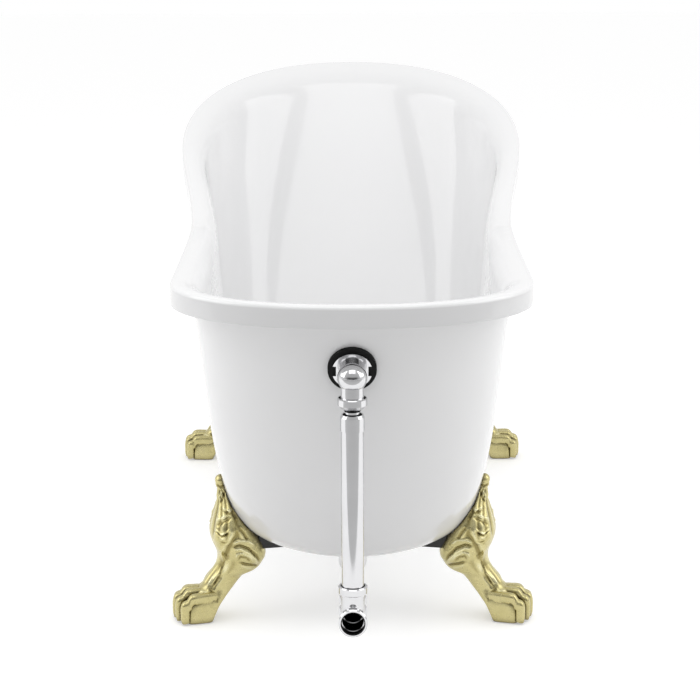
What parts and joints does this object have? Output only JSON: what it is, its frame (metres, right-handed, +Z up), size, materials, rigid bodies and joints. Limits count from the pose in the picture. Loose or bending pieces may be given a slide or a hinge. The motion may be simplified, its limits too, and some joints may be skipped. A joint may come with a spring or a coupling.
{
  "type": "freestanding slipper bathtub",
  "caption": "Double-skinned slipper bathtub with a flat rim band, on cast claw legs, with an exposed overflow and waste at the foot end and a lift stopper",
  "frame": {"origin": "on the floor under the middle of the tub", "axes": "+Z up, +Y towards the raised slipper back, +X across the tub"},
  "size_m": [0.7244, 1.5, 0.8063],
  "materials": {
    "white_acrylic": "polished white acrylic, high gloss",
    "board": "sealed plywood, closed in between the floors",
    "gold_casting": "pale satin gold plating on a casting",
    "black_rubber": "matte black rubber",
    "black_steel": "black powder coat",
    "zinc_steel": "zinc plated steel",
    "chrome_brass": "polished chrome plate on brass",
    "brass_stem": "turned brass"
  },
  "bodies": {
    "root": {"base_board": "board", "collar_seal": "black_rubber", "drain_flange": "chrome_brass", "drain_seal": "black_rubber", "elbow_nut": "chrome_brass", "faceplate_screws": "chrome_brass", "frame_screws": "zinc_steel", "inner_shell": "white_acrylic", "leg_bolts": "zinc_steel", "leg_bracket_front_left": "black_steel", "leg_bracket_front_right": "black_steel", "leg_bracket_rear_left": "black_steel", "leg_bracket_rear_right": "black_steel", "leg_front_left": "gold_casting", "leg_front_right": "gold_casting", "leg_rear_left": "gold_casting", "leg_rear_right": "gold_casting", "leg_washers": "zinc_steel", "outer_shell": "white_acrylic", "outlet_nut": "chrome_brass", "outlet_washer": "black_rubber", "overflow_elbow": "chrome_brass", "overflow_faceplate": "chrome_brass", "overflow_flange": "chrome_brass", "overflow_gasket": "black_rubber", "overflow_pipe": "chrome_brass", "overflow_plate_seal": "black_rubber", "pipe_collar": "chrome_brass", "shoe_elbow": "chrome_brass", "shoe_gasket": "black_rubber", "shoe_nut": "chrome_brass", "shoe_nut_washer": "black_rubber", "tee_rear_nut": "chrome_brass", "tee_rear_washer": "black_rubber", "tee_top_nut": "chrome_brass", "tee_top_washer": "black_rubber", "waste_pipe": "chrome_brass", "waste_tee": "chrome_brass"},
    "stopper": {"stopper_cap": "chrome_brass", "stopper_seal": "black_rubber", "stopper_stem": "brass_stem"}
  },
  "joints": [
    {"name": "stopper_lift", "type": "slide", "parent": "root", "child": "stopper", "axis": [0, 0, 1], "range_m": [0, 0.009]}
  ]
}
